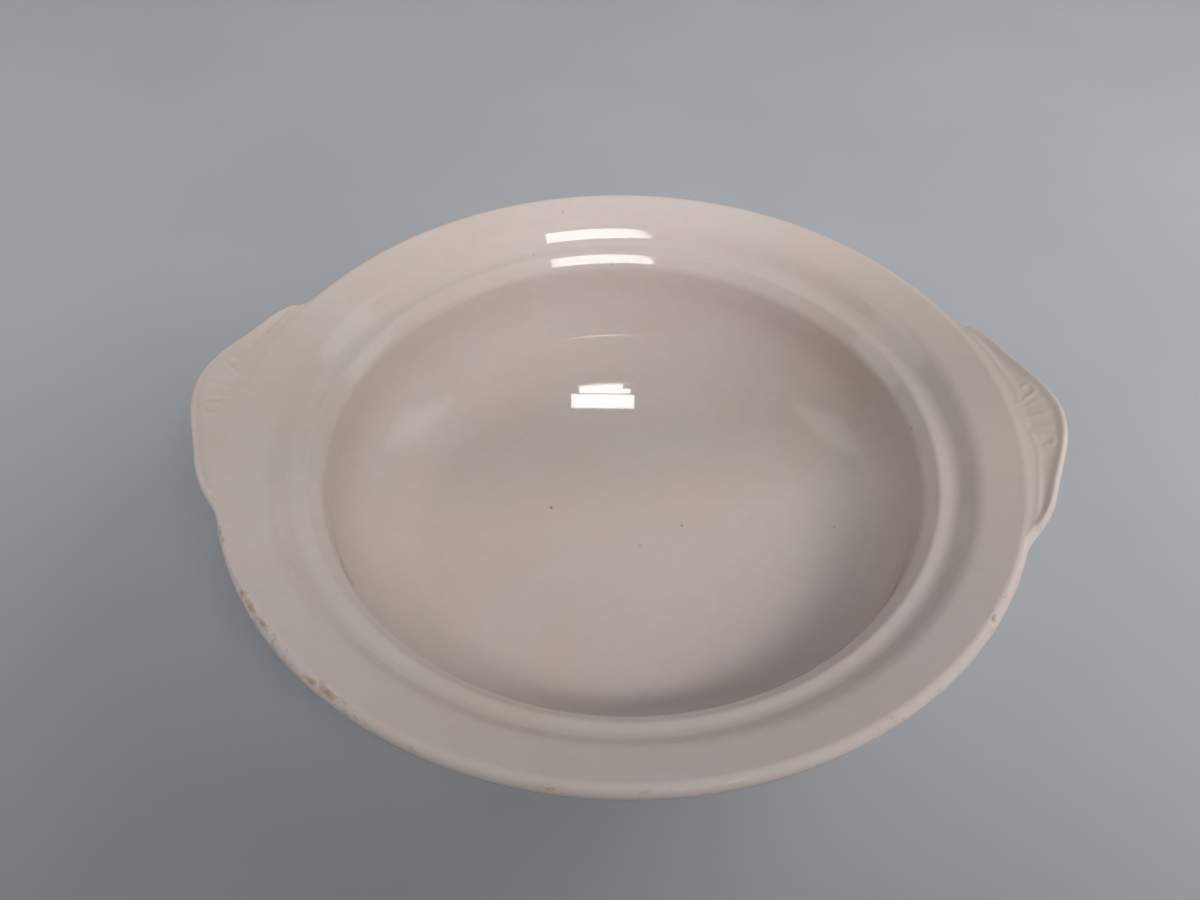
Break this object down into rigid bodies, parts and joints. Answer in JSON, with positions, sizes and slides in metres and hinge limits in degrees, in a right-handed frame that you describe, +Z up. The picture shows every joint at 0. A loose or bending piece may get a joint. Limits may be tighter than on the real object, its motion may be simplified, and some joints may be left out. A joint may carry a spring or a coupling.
{
  "type": "serving bowl",
  "caption": "Round glazed serving bowl with a sloping flange, an inner lid seat, a foot ring and moulded scroll lug handles.",
  "frame": {"origin": "on the table, at the middle of the foot ring", "axes": "+X through the lug handles, +Y away from the viewer, +Z up through the middle of the bowl"},
  "size_m": [0.261, 0.24, 0.0709],
  "materials": {
    "cream_glaze": "clear gloss glaze over a cream porcelain body, with worn chips on the rim",
    "relief_glaze": "the same clear glaze, pooled a little in the hollows of the relief",
    "foot_glaze": "glazed sides and a bare, ground tread where the ring stood in the kiln"
  },
  "bodies": {
    "root": {"bowl_body": "cream_glaze", "foot_ring": "foot_glaze", "lug_handle_left": "cream_glaze", "lug_handle_right": "cream_glaze", "lug_relief_left": "relief_glaze", "lug_relief_right": "relief_glaze"}
  },
  "joints": []
}
